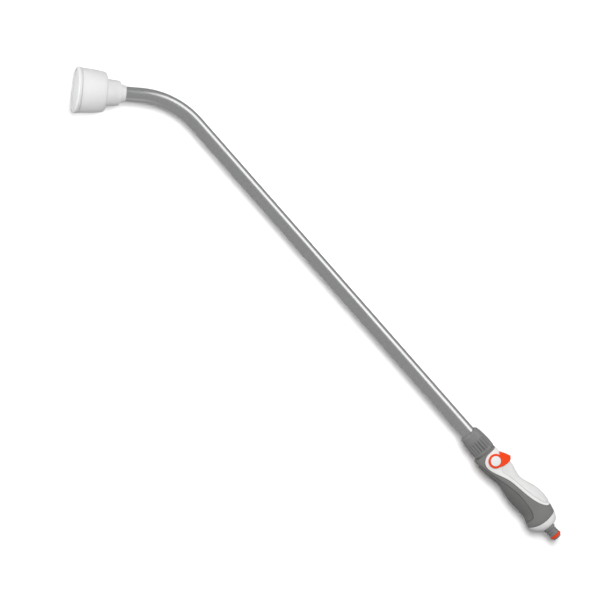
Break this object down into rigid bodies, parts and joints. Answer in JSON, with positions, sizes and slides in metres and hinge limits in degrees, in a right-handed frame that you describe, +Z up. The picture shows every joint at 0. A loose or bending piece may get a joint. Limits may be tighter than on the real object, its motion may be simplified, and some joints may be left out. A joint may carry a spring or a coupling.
{
  "type": "hose watering lance",
  "caption": "Long garden watering lance for a hose: hand grip with a thumb valve lever, a bent metal tube and a broad fine spray rose.",
  "frame": {"origin": "centre of the hose plug's end face, where the hose coupling meets it", "axes": "+X along the straight tube from the hose plug towards the rose, +Z up, square to the plane of the tube's bend, so the lance lies on its side; -Y is the thumb lever's side and the rose bends towards +Y"},
  "size_m": [0.9228, 0.1379, 0.0638],
  "materials": {
    "grey_plastic": "fine moulded satin",
    "soft_grey": "matt soft-touch",
    "white_plastic": "moulded satin gloss",
    "orange_plastic": "moulded gloss",
    "orange_rubber": "smooth rubber",
    "dark_plastic": "moulded",
    "dark_rubber": "smooth rubber",
    "aluminium": "satin drawn tube",
    "steel": "plain"
  },
  "bodies": {
    "wand": {"hose_plug": "grey_plastic", "fluted_collar": "grey_plastic", "handle_shell_left": "grey_plastic", "handle_shell_right": "grey_plastic", "plug_o_ring": "orange_rubber", "end_cap": "white_plastic", "top_cover": "white_plastic", "top_panel": "white_plastic", "rose_shell": "white_plastic", "rose_bezel": "white_plastic", "spray_plate": "white_plastic", "rose_neck": "white_plastic", "rose_nut": "white_plastic", "inlet_pipe": "dark_plastic", "valve_body": "dark_plastic", "tube_socket": "dark_plastic", "clamp_collet": "dark_plastic", "inlet_seal": "dark_rubber", "pipe_o_ring": "dark_rubber", "outlet_o_ring": "dark_rubber", "seat_seal_inlet": "dark_rubber", "seat_seal_outlet": "dark_rubber", "tube_o_ring": "dark_rubber", "neck_o_ring": "dark_rubber", "nut_o_ring": "dark_rubber", "plate_seal": "dark_rubber", "soft_grip": "soft_grey", "grip_pad": "soft_grey", "handle_screw_1": "steel", "handle_screw_2": "steel", "handle_screw_3": "steel", "handle_screw_4": "steel", "lance_tube": "aluminium"},
    "thumb_lever": {"thumb_lever": "orange_plastic", "valve_spool": "dark_plastic", "spool_o_ring_left": "dark_rubber", "spool_o_ring_right": "dark_rubber", "lever_screw_left": "steel", "lever_screw_right": "steel", "hub_cap_left": "white_plastic", "hub_cap_right": "white_plastic"}
  },
  "joints": [
    {"name": "thumb_lever_turn", "type": "hinge", "parent": "wand", "child": "thumb_lever", "pos_m": [0.1395, -0.004, 0], "axis": [0, 0, 1], "range_deg": [0, 42]}
  ]
}
